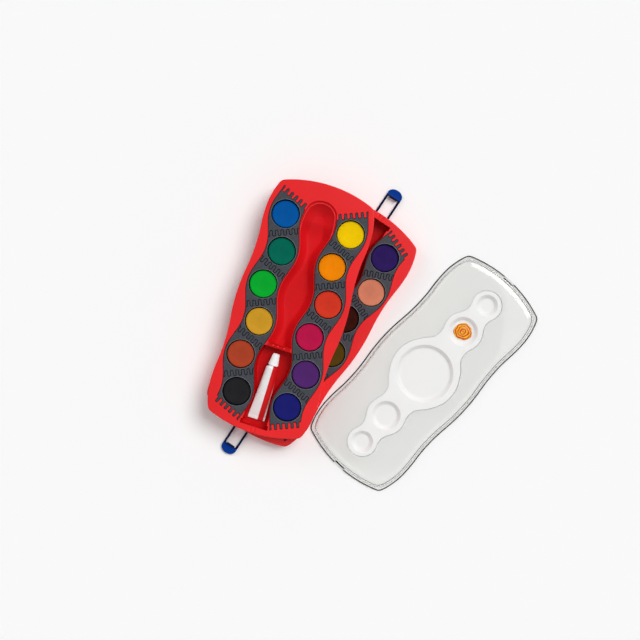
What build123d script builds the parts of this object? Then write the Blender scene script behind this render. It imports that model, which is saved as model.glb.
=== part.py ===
from build123d import *
import math
import os

# Watercolour palette: two identical moulded trays fanned one on the other, a clear mixing lid
# lying beside them, two swinging bails that clasp the stack, and a tube of white.
# Millimetres. The origin is the middle of the lower tray's base on the table, +Z is up, and +Y runs
# along the lower tray towards the far bail.

# Tray shell
TRAY_LENGTH = 270.0
TRAY_HEIGHT = 15.0
MIDDLE_HALF = 59.0
WAIST_HALF = 55.3
WAIST_PLACE = 55.0
HIP_HALF = 57.3
HIP_PLACE = 92.0
TAIL_HALF = 50.2
END_RADIUS = 134.0
CORNER_RADIUS = 7.0
GENTLE_RADIUS = 150.0
SKIRT_WALL = 1.5
DECK_WALL = 1.6
FLOOR_WALL = 1.6

# How far joined shapes run into each other, and cutters past what they cut
OVERLAP = 0.5
BEYOND = 1.0

# Ribbons of cups: each sways from side to side, one pan to each half wave
PANS_PER_RIBBON = 6
PAN_PITCH = 38.2
PAN_ROWS_SHIFT = -2.9
RIBBON_MIDDLE = 31.5
RIBBON_SWAY = 4.0
FLANK_LEAN = 18.0
RIBBON_HALF = 17.0
TROUGH_WALL = 1.1

# Comb joints between neighbouring cups, and between the end cups and the deck
COMB_LEAN = 22.5
FINGER_PITCH = 5.8
FINGERS = 6
FINGER_REACH = 3.0
COMB_GAP = 0.3
COMB_HALF = 24.6

# Cups and paint
CUP_SINK = 0.4
PLATE_THICKNESS = 1.6
WELL_RADIUS = 14.8
TUB_WALL = 1.2
PAN_SIDES = 12
TABLET_GAP = 0.4
TABLET_THICKNESS = 9.2

# Brush trough and tube compartment, with a low wall across between them
HEAD_SHIFT = 6.5
CROSS_WALL_TOP = -39.5
CROSS_WALL_DROP = 1.5
CROSS_WALL_BOTTOM = -43.5
TUBE_BAY_END = -124.0
END_SLOT_HALF = 14.0
END_SLOT_LENGTH = 5.0
RIM_GROOVE_PLACE = 2.0
RIM_GROOVE_WIDTH = 1.6
RIM_GROOVE_DEPTH = 1.0
RIM_GROOVE_START = -129.5

# Bails and their bearings
BAIL_WIDTH = 16.8
LEG_WIDTH = 2.35
LEG_THICKNESS = 2.4
CRANK_HALF = 1.5
PIVOT_HEIGHT = 6.0
PIVOT_INSET = 3.3
PIVOT_RADIUS = 1.2
PIVOT_CLEARANCE = 0.05
PIVOT_STUB = 2.6
BEARING_DEPTH = 2.6
BAIL_SIDE_GAP = 0.45
SLOT_GAP = 0.3
PAD_LENGTH = 9.4
PAD_SIDES = 8
EYE_SIDES = 8
TONGUE_WIDTH = 9.5
TONGUE_LENGTH = 1.2
LIP_HEIGHT = 3.1
LIP_THICKNESS = 1.3
LIP_GAP = 0.05

# Lid
LID_HEIGHT = 9.0
LID_WALL = 1.2
FLANGE_WIDTH = 3.0
FLANGE_THICKNESS = 1.5
DOME_CORNER = 11.0
SHOULDER_RUN = 7.5
SHOULDER_DROP = 6.0
NOTCH_WIDTH = 13.0
ISLAND_DEPTH = 1.0
DISH_DEPTH = 3.0
SMALL_DISH = (97.9, 16.1, 11.2)
MEDIUM_DISH = (60.5, 20.9, 15.2)
LARGE_DISH = (0.0, 37.4, 30.3)
LARGE_SIDES = 24
SMALL_SIDES = 12
OUTER_NECK_HALF = 12.6
INNER_NECK_HALF = 17.6

# Tube of white
TUBE_SIDES = 16
TUBE_RADIUS = 6.4
CRIMP_HALF = 9.2
CRIMP_THICKNESS = 1.6
CRIMP_LENGTH = 4.8
TUBE_BODY_LENGTH = 52.0
TUBE_SHOULDER = 3.0
NECK_RADIUS = 2.6
NECK_LENGTH = 6.5
CAP_LENGTH = 12.5
CAP_BASE_RADIUS = 5.3
CAP_TIP_RADIUS = 3.5
CAP_CLEARANCE = 0.06
TUBE_LIFT = 0.3
TUBE_SHOULDER_PLACE = -64.5

# Where the loose pieces lie
UPPER_CENTRE = (-25.2, -0.9)
UPPER_TURN = 15.6
LID_SIDE_SHIFT = 108.6
LID_END_SHIFT = 19.9
LID_TURN = -9.2

# Paint colours from the plain end to the tube end
UPPER_LEFT = ["blue", "teal", "green", "ochre", "rust", "black"]
UPPER_RIGHT = ["yellow", "orange", "vermilion", "magenta", "purple", "ultramarine"]
LOWER_LEFT = ["sand", "sage", "olive", "umber", "salmon", "indigo"]
LOWER_RIGHT = ["lemon", "coral", "rose", "lilac", "turquoise", "mint"]

HALF_LENGTH = TRAY_LENGTH / 2
FIRST_ROW = PAN_ROWS_SHIFT + (PANS_PER_RIBBON - 1) / 2 * PAN_PITCH
LAST_ROW = FIRST_ROW - (PANS_PER_RIBBON - 1) * PAN_PITCH
HEAD_PLACE = FIRST_ROW + HEAD_SHIFT
PIVOT_PLACE = HALF_LENGTH - PIVOT_INSET
PAD_START = 2 * TRAY_HEIGHT + FLANGE_THICKNESS / 2 + LIP_GAP + TONGUE_LENGTH - PIVOT_HEIGHT
LEG_INNER = BAIL_WIDTH / 2 - LEG_WIDTH
FLANK_SLOPE = math.tan(math.radians(FLANK_LEAN))
CORNER_SWAY = PAN_PITCH / 2 * FLANK_SLOPE
CREST_RADIUS = (CORNER_SWAY - RIBBON_SWAY) / (1 / math.cos(math.radians(FLANK_LEAN)) - 1)
LID_CENTRE = (LID_SIDE_SHIFT - HALF_LENGTH * math.sin(math.radians(LID_TURN)), LID_END_SHIFT)


def slab(face, bottom, top):
    """A flat face in the XY plane raised into a solid between two heights."""
    return Pos(0, 0, bottom) * extrude(face, amount=top - bottom, dir=(0, 0, 1))


def block(x0, x1, y0, y1, z0, z1):
    """A box between two corners."""
    return Pos((x0 + x1) / 2, (y0 + y1) / 2, (z0 + z1) / 2) * Box(x1 - x0, y1 - y0, z1 - z0)


def both_sides(shape):
    """A shape and its mirror image across the long axis."""
    return shape + mirror(shape, about=Plane.YZ)


def swing(points):
    """A smooth line of arcs that runs along Y at each of its points."""
    arcs = []
    for (x0, y0), (x1, y1) in zip(points, points[1:]):
        middle = ((x0 + x1) / 2, (y0 + y1) / 2)
        along = math.copysign(1, y1 - y0)
        arcs.append(TangentArc((x0, y0), middle, tangent=(0, along)))
        arcs.append(TangentArc((x1, y1), middle, tangent=(0, -along)))
    return arcs


def outline(inset, corner):
    """The shared plan of trays and lid: bulging sides, bowed ends and rounded corners."""
    middle = MIDDLE_HALF - inset
    waist = WAIST_HALF - inset
    hip = HIP_HALF - inset
    tail = TAIL_HALF - inset
    tail_place = HALF_LENGTH - END_RADIUS + math.sqrt((END_RADIUS - inset) ** 2 - tail**2)
    quarter = swing([(middle, 0), (waist, WAIST_PLACE), (hip, HIP_PLACE)])
    quarter.append(TangentArc((hip, HIP_PLACE), (tail, tail_place), tangent=(0, 1)))
    quarter.append(ThreePointArc((tail, tail_place), end_point(inset, tail / 2), (0, HALF_LENGTH - inset)))
    half = quarter + [mirror(edge, about=Plane.YZ) for edge in quarter]
    plan = make_face(half + [mirror(edge, about=Plane.XZ) for edge in half])
    corners = [v for v in plan.vertices() if abs(abs(v.X) - tail) < 0.01 and abs(v.Y) > HIP_PLACE]
    return in_chords(fillet(corners, corner).face())


def in_chords(plan):
    """A plan round the origin with its arcs drawn as chords, fewer where the bend is gentle."""
    rim = set()
    for edge in plan.edges():
        chords = 2 if edge.radius > GENTLE_RADIUS else 3
        for k in range(chords + 1):
            point = edge @ (k / chords)
            rim.add((round(point.X, 4), round(point.Y, 4)))
    return Polygon(*sorted(rim, key=lambda corner: math.atan2(corner[1], corner[0])), align=None)


def end_point(inset, x):
    """The point of the bowed end at a distance from the long axis."""
    return (x, HALF_LENGTH - END_RADIUS + math.sqrt((END_RADIUS - inset) ** 2 - x**2))


def crest(x, y, bulge):
    """Three corners of a pan's flank-crest-flank bend, its crest at (x, y) and bulging to +X or -X."""
    lean = math.radians(FLANK_LEAN)
    reach = CREST_RADIUS / math.cos(lean / 3)
    corners = []
    for turn in (2 / 3 * lean, 0, -2 / 3 * lean):
        inset = CREST_RADIUS - reach * math.cos(turn)
        corners.append((x - bulge * inset, y + reach * math.sin(turn)))
    return corners


def pan_line(offset):
    """Corners of the right ribbon's wavy line, from past its top to past its foot, moved sideways."""
    corners = []
    for row in range(-1, PANS_PER_RIBBON + 1):
        bulge = 1 if row % 2 == 0 else -1
        x = RIBBON_MIDDLE + bulge * RIBBON_SWAY + offset
        corners += crest(x, FIRST_ROW - row * PAN_PITCH, bulge)
    return corners


def strip_between(left, right):
    """The plan between two wavy lines."""
    return Polygon(*(left + right[::-1]), align=None)


def ribbon_strip(grow):
    """The right ribbon's plan, run on past both of its ends."""
    return strip_between(pan_line(-RIBBON_HALF - grow), pan_line(RIBBON_HALF + grow))


def middle_strip(grow):
    """The plan between the two ribbons, less the trough's walls, as long as the ribbons."""
    right = pan_line(-RIBBON_HALF - TROUGH_WALL + grow)
    return strip_between([(-x, y) for x, y in right], right)


def band(low, high):
    """A plan across the whole tray between two places along it."""
    return Pos(0, (low + high) / 2) * Rectangle(2 * MIDDLE_HALF, high - low)


def comb_line(gap):
    """The leaning comb above a cup whose pan bulges to +X, seen from the pan's centre.

    The cup lies below the line; a positive gap draws it back from its neighbour.
    """
    finger = FINGER_PITCH / 2
    points = [(-COMB_HALF, -FINGER_REACH - gap)]
    for k in range(-FINGERS // 2, FINGERS // 2):
        start = k * FINGER_PITCH + finger + gap
        end = (k + 1) * FINGER_PITCH - gap
        points += [(start, -FINGER_REACH - gap), (start, FINGER_REACH - gap)]
        if k < FINGERS // 2 - 1:
            points += [(end, FINGER_REACH - gap), (end, -FINGER_REACH - gap)]
    points.append((COMB_HALF, FINGER_REACH - gap))
    lean = math.radians(COMB_LEAN)
    return [
        (
            -RIBBON_SWAY + along * math.cos(lean) - up * math.sin(lean),
            PAN_PITCH / 2 + along * math.sin(lean) + up * math.cos(lean),
        )
        for along, up in points
    ]


def straight_band(margin):
    """The right ribbon's length between its two end joints, a margin past the comb tips."""
    rise = COMB_HALF * math.tan(math.radians(COMB_LEAN))
    top = FIRST_ROW + PAN_PITCH / 2 + FINGER_REACH + margin
    bottom = LAST_ROW - PAN_PITCH / 2 - FINGER_REACH - margin
    left, right = RIBBON_MIDDLE - COMB_HALF, RIBBON_MIDDLE + COMB_HALF
    return Polygon(
        (left, bottom - rise), (right, bottom + rise), (right, top + rise), (left, top - rise), align=None
    )


def pocket_plan():
    """The right ribbon's pocket in the deck, with the deck's own comb at each end."""
    line = comb_line(-COMB_GAP / 2)
    first = RIBBON_MIDDLE + RIBBON_SWAY
    last = RIBBON_MIDDLE - RIBBON_SWAY
    top = [(first + x, FIRST_ROW + y) for x, y in line]
    bottom = [(last - x, LAST_ROW - y) for x, y in line]
    return ribbon_strip(COMB_GAP / 2) & Polygon(*(top + bottom), align=None)


def cup_plan():
    """One cup plate with its pan at the origin, bulging to +X."""
    line = comb_line(COMB_GAP / 2)
    ends = Polygon(*(line + [(x, -y) for x, y in reversed(line)]), align=None)
    half = RIBBON_HALF - COMB_GAP / 2
    run = 2 * PAN_PITCH * FLANK_SLOPE
    above = [(CORNER_SWAY - RIBBON_SWAY - run, 2 * PAN_PITCH)]
    below = [(above[0][0], -2 * PAN_PITCH)]
    line = above + crest(0, 0, 1) + below
    sides = strip_between([(x - half, y) for x, y in line], [(x + half, y) for x, y in line])
    return sides & ends


def trough_plan(grow):
    """The brush trough: a round head, and sides that follow the ribbons down to the cross wall."""
    widest = RIBBON_MIDDLE + RIBBON_SWAY - RIBBON_HALF - TROUGH_WALL + grow
    beyond = math.hypot(CREST_RADIUS - widest, HEAD_PLACE - FIRST_ROW)
    head_radius = CREST_RADIUS - beyond
    meeting = FIRST_ROW + (HEAD_PLACE - FIRST_ROW) * CREST_RADIUS / beyond
    sides = (middle_strip(grow) & band(CROSS_WALL_TOP - grow, meeting)).face()
    return sides + Pos(0, HEAD_PLACE) * Circle(head_radius)


def tube_bay_plan(grow):
    """The tube compartment: it follows the ribbons and ends in a cross slot."""
    bay = (middle_strip(grow) & band(TUBE_BAY_END, CROSS_WALL_BOTTOM + grow)).face()
    slot = Rectangle(2 * (END_SLOT_HALF + grow), END_SLOT_LENGTH + 2 * grow)
    return bay + Pos(0, TUBE_BAY_END - END_SLOT_LENGTH / 2 + BEYOND) * slot


def tray():
    """One tray, its tube end towards -Y."""
    deck = TRAY_HEIGHT
    plan = outline(0, CORNER_RADIUS)
    body = slab(plan, 0, deck)
    pocket = both_sides(slab(pocket_plan(), FLOOR_WALL, deck))
    brush_trough = slab(trough_plan(0), FLOOR_WALL, deck)
    tube_bay = slab(tube_bay_plan(0), FLOOR_WALL, deck)

    # The hollow under the deck keeps clear of the pockets by their walls
    walls = ribbon_strip(TROUGH_WALL) & straight_band(TROUGH_WALL)
    middle = trough_plan(TROUGH_WALL) + tube_bay_plan(TROUGH_WALL)
    middle += (middle_strip(TROUGH_WALL) & band(CROSS_WALL_BOTTOM, CROSS_WALL_TOP)).face()
    hollow_plan = outline(SKIRT_WALL, CORNER_RADIUS - SKIRT_WALL) - walls - mirror(walls, about=Plane.YZ)
    hollow_plan -= middle
    hollow = slab(hollow_plan, 0, deck - DECK_WALL)
    body -= hollow
    body -= pocket
    body -= brush_trough
    body -= tube_bay
    cross_wall = (middle_strip(0) & band(CROSS_WALL_BOTTOM, CROSS_WALL_TOP)).face()
    body -= slab(cross_wall, deck - CROSS_WALL_DROP, deck + BEYOND)
    for place in (-RIM_GROOVE_PLACE, RIM_GROOVE_PLACE):
        low, high = place - RIM_GROOVE_WIDTH / 2, place + RIM_GROOVE_WIDTH / 2
        foot, top = deck - RIM_GROOVE_DEPTH, deck + BEYOND
        body -= block(low, high, -HALF_LENGTH - BEYOND, RIM_GROOVE_START, foot, top)
    for end in (1, -1):
        body = bearing(body, end)
    return body


def bearing(body, end):
    """Adds the block that carries a bail under one end rim, and cuts the slots for its legs."""
    width = 2 * (LEG_INNER - BAIL_SIDE_GAP)
    rim = end * (HALF_LENGTH - SKIRT_WALL / 2)
    back = end * (PIVOT_PLACE - CRANK_HALF - BEYOND)
    low, high = sorted((rim, back))
    foot, top = PIVOT_HEIGHT - BEARING_DEPTH, TRAY_HEIGHT - DECK_WALL / 2
    carrier = block(-width / 2, width / 2, low, high, foot, top)
    bore = Pos(0, end * PIVOT_PLACE, PIVOT_HEIGHT) * Rot(0, 90, 0)
    bore = bore * Cylinder(PIVOT_RADIUS + PIVOT_CLEARANCE, width + BEYOND)
    body = body + carrier - bore
    low, high = sorted((end * (PIVOT_PLACE + CRANK_HALF - OVERLAP), end * (HALF_LENGTH + BEYOND)))
    slot = block(
        LEG_INNER - SLOT_GAP,
        BAIL_WIDTH / 2 + SLOT_GAP,
        low,
        high,
        -BEYOND,
        PIVOT_HEIGHT + CRANK_HALF + SLOT_GAP,
    )
    return body - slot - mirror(slot, about=Plane.YZ)


def cup():
    """One cup with its pan at the origin and its tub standing on the pocket's floor."""
    top = TRAY_HEIGHT - CUP_SINK
    plate = slab(cup_plan(), top - PLATE_THICKNESS, top)
    tub = slab(RegularPolygon(WELL_RADIUS + TUB_WALL, PAN_SIDES), FLOOR_WALL, top)
    well = slab(RegularPolygon(WELL_RADIUS, PAN_SIDES), FLOOR_WALL + TUB_WALL, top + BEYOND)
    return plate + tub - well


def tablet():
    """One paint tablet, standing on its cup's floor."""
    base = FLOOR_WALL + TUB_WALL
    return slab(RegularPolygon(WELL_RADIUS - TABLET_GAP, PAN_SIDES), base, base + TABLET_THICKNESS)


def pan_places():
    """For each pan: its side, its row, its centre and the turn that makes it bulge the right way."""
    places = []
    for side in (-1, 1):
        for row in range(PANS_PER_RIBBON):
            bulges_out = row % 2 == 0
            x = RIBBON_MIDDLE + (RIBBON_SWAY if bulges_out else -RIBBON_SWAY)
            y = FIRST_ROW - row * PAN_PITCH
            turn = 0 if (side > 0) == bulges_out else 180
            places.append((side, row, side * x, y, turn))
    return places


def bail():
    """The bail at a tray's +Y end, lying open on the table."""
    knee = PIVOT_PLACE - CRANK_HALF
    pad_start = PIVOT_PLACE + PAD_START
    leg = block(LEG_INNER, BAIL_WIDTH / 2, knee, pad_start + OVERLAP, 0, LEG_THICKNESS)
    leg += block(LEG_INNER, BAIL_WIDTH / 2, knee, knee + 2 * CRANK_HALF, 0, PIVOT_HEIGHT)
    eye = Rot(0, 90, 0) * extrude(RegularPolygon(CRANK_HALF, EYE_SIDES), amount=LEG_WIDTH)
    leg += Pos(LEG_INNER, PIVOT_PLACE, PIVOT_HEIGHT) * eye
    stub = Rot(0, 90, 0) * Cylinder(PIVOT_RADIUS, PIVOT_STUB + OVERLAP)
    leg += Pos(LEG_INNER + (OVERLAP - PIVOT_STUB) / 2, PIVOT_PLACE, PIVOT_HEIGHT) * stub
    half = BAIL_WIDTH / 2
    straight = PAD_LENGTH / 3
    rim = [(half, pad_start)]
    for k in range(PAD_SIDES + 1):
        turn = math.pi * k / PAD_SIDES
        rim.append((half * math.cos(turn), pad_start + straight + (PAD_LENGTH - straight) * math.sin(turn)))
    rim.append((-half, pad_start))
    pad = Polygon(*rim, align=None)
    tongue = TONGUE_WIDTH / 2
    catch = block(-tongue, tongue, pad_start - TONGUE_LENGTH, pad_start + OVERLAP, 0, LEG_THICKNESS)
    catch += block(
        -tongue, tongue, pad_start - TONGUE_LENGTH, pad_start - TONGUE_LENGTH + LIP_THICKNESS,
        0, LEG_THICKNESS + LIP_HEIGHT,
    )
    return both_sides(leg) + slab(pad, 0, LEG_THICKNESS) + catch


def island(grow):
    """The plan of the milky island: five round lobes joined by waisted necks."""
    plan = RegularPolygon(LARGE_DISH[1] + grow, LARGE_SIDES)
    necks = Rectangle(2 * (INNER_NECK_HALF + grow), 2 * MEDIUM_DISH[0])
    necks += Rectangle(2 * (OUTER_NECK_HALF + grow), 2 * SMALL_DISH[0])
    plan += necks
    for place, lobe, dish in (SMALL_DISH, MEDIUM_DISH):
        for end in (1, -1):
            plan += Pos(0, end * place) * RegularPolygon(lobe + grow, SMALL_SIDES)
    return plan


def lid():
    """The clear lid with its rim on the table and its wells pressed into the top."""
    flange = slab(outline(0, CORNER_RADIUS), 0, FLANGE_THICKNESS)
    dome = slab(outline(FLANGE_WIDTH, DOME_CORNER), 0, LID_HEIGHT)
    dome = chamfer(dome.faces().sort_by(Axis.Z)[-1].edges(), SHOULDER_DROP, SHOULDER_RUN)
    inside = slab(outline(FLANGE_WIDTH + LID_WALL, DOME_CORNER - LID_WALL), 0, LID_HEIGHT - LID_WALL)
    inside = chamfer(inside.faces().sort_by(Axis.Z)[-1].edges(), SHOULDER_DROP, SHOULDER_RUN)
    shell = flange + dome - inside

    floor = LID_HEIGHT - ISLAND_DEPTH
    shell += slab(island(LID_WALL), floor - DISH_DEPTH - LID_WALL, LID_HEIGHT - LID_WALL / 2)
    shell -= slab(island(0), floor, LID_HEIGHT + BEYOND)
    for place, lobe, radius in (SMALL_DISH, MEDIUM_DISH, LARGE_DISH):
        sides = LARGE_SIDES if place == 0 else SMALL_SIDES
        dish = slab(RegularPolygon(radius, sides), floor - DISH_DEPTH, LID_HEIGHT)
        for y in {place, -place}:
            shell -= Pos(0, y, 0) * dish
    notch = block(
        -NOTCH_WIDTH / 2, NOTCH_WIDTH / 2, HALF_LENGTH - FLANGE_WIDTH, HALF_LENGTH + BEYOND,
        FLANGE_THICKNESS / 2, FLANGE_THICKNESS + BEYOND,
    )
    return shell - notch - mirror(notch, about=Plane.XZ)


def tube_axis():
    """The tube's own frame in a tray: +Z points from the crimp to the cap, and +Y faces the floor."""
    tilt = math.atan2(TUBE_RADIUS - CRIMP_THICKNESS / 2, TUBE_BODY_LENGTH + CRIMP_LENGTH)
    height = FLOOR_WALL + TUBE_LIFT + TUBE_RADIUS / math.cos(tilt)
    return Pos(0, TUBE_SHOULDER_PLACE, height) * Rot(math.degrees(tilt) - 90, 0, 0)


def ring(width, thickness, height):
    """The corners of a flattened ring of flats across the tube."""
    corners = []
    for k in range(TUBE_SIDES):
        turn = 2 * math.pi * (k + 0.5) / TUBE_SIDES
        corners.append((width * math.cos(turn), thickness * math.sin(turn), height))
    return corners


def tube_body():
    """The tube from its flat crimp to its neck, its shoulder at the origin."""
    crimp = CRIMP_THICKNESS / 2
    foot = ring(CRIMP_HALF, crimp, -TUBE_BODY_LENGTH)
    round_end = ring(TUBE_RADIUS, TUBE_RADIUS, 0) + ring(NECK_RADIUS, NECK_RADIUS, TUBE_SHOULDER)
    body = ConvexPolyhedron(foot + round_end)
    body += block(
        -CRIMP_HALF, CRIMP_HALF, -crimp, crimp,
        -TUBE_BODY_LENGTH - CRIMP_LENGTH, -TUBE_BODY_LENGTH + CRIMP_THICKNESS,
    )
    return body + slab(Circle(NECK_RADIUS), TUBE_SHOULDER - OVERLAP, TUBE_SHOULDER + NECK_LENGTH)


def tube_cap():
    """The fluted screw cap over the neck, its open end just clear of the tube's shoulder."""
    base = TUBE_SHOULDER + CAP_CLEARANCE
    lean = math.degrees(math.atan2(CAP_BASE_RADIUS - CAP_TIP_RADIUS, CAP_LENGTH))
    grip = RegularPolygon(CAP_BASE_RADIUS, TUBE_SIDES)
    cap = Pos(0, 0, base) * extrude(grip, amount=CAP_LENGTH, taper=lean)
    return cap - slab(Circle(NECK_RADIUS + CAP_CLEARANCE), base - BEYOND, base + NECK_LENGTH + OVERLAP)


def main():
    os.makedirs("parts", exist_ok=True)
    lower_frame = Rot(0, 0, 180)
    upper_frame = Pos(UPPER_CENTRE[0], UPPER_CENTRE[1], TRAY_HEIGHT) * Rot(0, 0, UPPER_TURN)
    lid_frame = Pos(LID_CENTRE[0], LID_CENTRE[1], 0) * Rot(0, 0, LID_TURN)

    nodes = {}
    shell, pan, cake, catch = tray(), cup(), tablet(), bail()
    nodes["lower_tray"] = lower_frame * shell
    nodes["upper_tray"] = upper_frame * shell
    for level, frame, left, right in (
        ("upper", upper_frame, UPPER_LEFT, UPPER_RIGHT),
        ("lower", lower_frame, LOWER_LEFT, LOWER_RIGHT),
    ):
        for side, row, x, y, turn in pan_places():
            colour = (left if side < 0 else right)[row]
            place = frame * Pos(x, y, 0) * Rot(0, 0, turn)
            nodes[f"{level}_cup_{colour}"] = place * pan
            nodes[f"{level}_paint_{colour}"] = place * cake
    nodes["far_bail"] = catch
    nodes["near_bail"] = Rot(0, 0, 180) * catch
    nodes["lid"] = lid_frame * lid()
    nodes["tube_body"] = upper_frame * tube_axis() * tube_body()
    nodes["tube_cap"] = upper_frame * tube_axis() * tube_cap()
    for name, shape in nodes.items():
        export_step(shape, f"parts/{name}.step")


main()
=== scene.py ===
import math

import bmesh
import bpy
import numpy as np
from mathutils import Matrix, Vector
from mathutils.geometry import delaunay_2d_cdt


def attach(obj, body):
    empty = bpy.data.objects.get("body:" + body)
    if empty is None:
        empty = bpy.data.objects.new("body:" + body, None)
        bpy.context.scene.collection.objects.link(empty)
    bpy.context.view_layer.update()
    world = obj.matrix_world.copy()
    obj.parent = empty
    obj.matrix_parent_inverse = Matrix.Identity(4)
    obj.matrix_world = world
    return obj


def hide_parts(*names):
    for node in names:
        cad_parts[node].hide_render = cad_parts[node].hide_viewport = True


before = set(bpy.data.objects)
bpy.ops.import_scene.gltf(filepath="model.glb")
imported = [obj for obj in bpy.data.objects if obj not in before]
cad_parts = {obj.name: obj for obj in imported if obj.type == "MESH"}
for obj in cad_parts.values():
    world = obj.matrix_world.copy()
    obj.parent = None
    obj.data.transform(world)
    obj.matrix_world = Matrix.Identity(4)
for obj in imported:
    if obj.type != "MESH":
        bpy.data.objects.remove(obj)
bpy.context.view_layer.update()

MM = 0.001
# Points nearer than this are one point
NEAREST = 1e-7
SMOOTH_ANGLE = 35
HALVINGS = 40

# The plan that trays and lid share, in millimetres as in the solids
HALF_LENGTH = 135.0
MIDDLE_HALF = 59.0
WAIST_HALF, WAIST_PLACE = 55.3, 55.0
HIP_HALF, HIP_PLACE = 57.3, 92.0
TAIL_HALF = 50.2
END_RADIUS = 134.0
CORNER_RADIUS = 7.0
CORNER_STEPS = 8
ARC_STEPS = 10
# Edges of the end grooves and of the lid's notches, as places across the end
END_MARKS = [1.15, 1.25, 2.75, 2.85, 6.45, 6.55]
MARK_ROOM = 0.3
# A corner's neighbours lie this many radii away, and points this near to its arc are dropped
CORNER_ROOM, CORNER_CLEAR = 1.2, 0.2
# The sharpest corner that an inset follows fully, and the most that it stretches
MITRE_SHARPEST, MITRE_MOST = 0.35, 1.6

# Tray
DECK = 15.0
DECK_WALL = 1.6
FLOOR = 1.6
SKIRT = 1.5
TROUGH_WALL = 1.1
THINNING = 0.75
HEAD_PLACE = 99.1
TROUGH_STEPS, HEAD_STEPS = 110, 48
# Where along the trough its head's lip and its even inset grow, and how far the ribbons' walls bound it
LIP_FROM, LIP_GROWS = 74, 22
EVEN_FROM, EVEN_GROWS = 50, 30
WALLS_TO = 111
CROSS_TOP, CROSS_BOTTOM = -39.5, -43.5
CROSS_MIDDLE = (CROSS_TOP + CROSS_BOTTOM) / 2
CROSS_REACH = 2.9
CROSS_DROP = 1.5
DROP_START, DROP_SLOPE = 0.05, 1.4
# Points across the cross wall: in from its ends, then in even steps to near its middle
WALL_INSETS = (0.06, 0.9, 2.2)
WALL_STEP, WALL_STOP = 1.5, 2
DOTS = (-6.1, -0.9, 6.0)
CROSS_RIM, GROOVE_RIM = 0.6, 0.3
GROOVE_FROM = -127
GROOVE_DEPTH = 1.0
SLOT_HALF = 14.8
SLOT_TOP, SLOT_FOOT = -123.4, -128.0
BAY_MOUTH = 13.2
BAY_FLARE_FROM, BAY_FLARE = -114, 0.5
BAY_STEPS = 60
BASE_FOOT, BASE_FOOT_HALF = -129.1, 15.1
BASE_HEAD, BASE_HEAD_SIDE, BASE_HEAD_HALF = HEAD_PLACE + 19.4, HEAD_PLACE + 17.5, 16.0
END_WALL, END_SLOT = (132.7, 136.0), (5.75, 8.7)
BEARING_HALF, BEARING, BEARING_HEIGHTS = 5.6, (129.2, 134.2), (3.4, 14.0)

# Ribbons, combs and cups
PITCH = 38.2
ROWS = 6
FIRST_ROW = 92.6
RIBBON_MIDDLE = 31.5
RIBBON_SWAY = 4.0
RIBBON_HALF = 17.0
RIBBON_STEP = 1.3
LEAN = math.radians(18.0)
CORNER_SWAY = PITCH / 2 * math.tan(LEAN)
CREST_RADIUS = (CORNER_SWAY - RIBBON_SWAY) / (1 / math.cos(LEAN) - 1)
COMB_LEAN = math.radians(22.5)
COMB_GAP = 0.3
COMB_FAR = 26.0
FINGERS = 6
FINGER_PITCH = 5.8
FINGER_REACH = 3.0
FINGER_ROUND, FINGER_STEPS = 1.25, 5
CUP_TOP = 14.6
CUP_PLATE = 1.6
WELL_RADIUS = 14.8
TUB_RADIUS = 15.7
TUB_FOOT = 2.2
TABLET_TOP = 12.0

# Lid
LID_TOP = 9.0
LID_WALL = 1.2
FLANGE = 3.0
FLANGE_STEP = 0.75
FLANGE_TOP = 1.5
DOME_CORNER = 11.0
SHOULDER_FROM, SHOULDER_WIDTH = 3.0, 7.5
SHOULDER_STEPS = 9
NOTCH_HALF, NOTCH_FROM, NOTCH_DEPTH = 6.5, 120, 1.7
WELLS = ((97.9, 11.2), (60.5, 15.2), (0, 30.3), (-60.5, 15.2), (-97.9, 11.2))
WELL_GROW = 1.0

# Bails
BAIL_HALF, EYE_HALF = 8.4, 6.05
BAIL_THICK = 2.4
KNEE, LEG_MIDDLE, PAD_START = 130.2, 145.0, 157.7
PAD_LENGTH = 9.4
PAD_STEPS = 24
CRANK_LENGTH = 3.0
TONGUE_HALF = 4.75
PIVOT_PLACE = (131.7, 6.0)
PIVOT_RADIUS = 1.2
PIN_TIP, PIN_ROOT, PIN_EASE = 3.45, 0.5, 0.25

# Tube and cap
TUBE_LENGTH = 52.0
TUBE_RADIUS = 6.4
TUBE_PLACE = -64.5
TUBE_LIFT = 0.3
TUBE_SIDES = 120
BODY_STEPS = 15
CRIMP_LENGTH = 4.8
CRIMP_HALF = 9.2
CRIMP_THICK = 0.8
CRIMP_SQUARENESS = 0.45
RIDGE_PITCH = 0.9
CAP_FOOT = 3.06
CAP_BORE, BORE_TOP = 2.66, 10.0
CAP_SIDES, CAP_RIBS = 168, 28

# Where the parts lie: centre and turn about the vertical
UPPER_CENTRE, UPPER_TURN = (-25.2, -0.9), 15.6
LID_CENTRE, LID_TURN = (130.18, 19.9), -9.2

# The tube's stripe in the upper tray's frame; its two edges are metres times the sharpness
STRIPE_LEAN = 0.0065
STRIPE_SHARPNESS = 1500.0
STRIPE_START, STRIPE_END = 0.53, 11.6

# Camera, light and floor
FRAME_WIDTH = 640
LENS_PIXELS = 982.7
SENSOR_WIDTH = 36.0
CAMERA_PLACE = (0.0063, 0.0063, 1.05)
CAMERA_TURN = 33.4
STRIP_TARGET = Vector((0.13, 0.02, 0.0))
STRIP_HEIGHT = 0.795
STRIP_SIZE = (0.9, 0.4)
STRIP_POWER = 1.0
FLOOR_HALF = 3.0
FLOOR_DROP = 0.0002
WORLD_LIGHT, WORLD_SHOWN = 0.34, 0.97

# A two-tone ramp's places, and the highest value that a paint may have
RAMP_START, RAMP_END = 0.3, 0.7
HIGHEST_PAINT = 252
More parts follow.
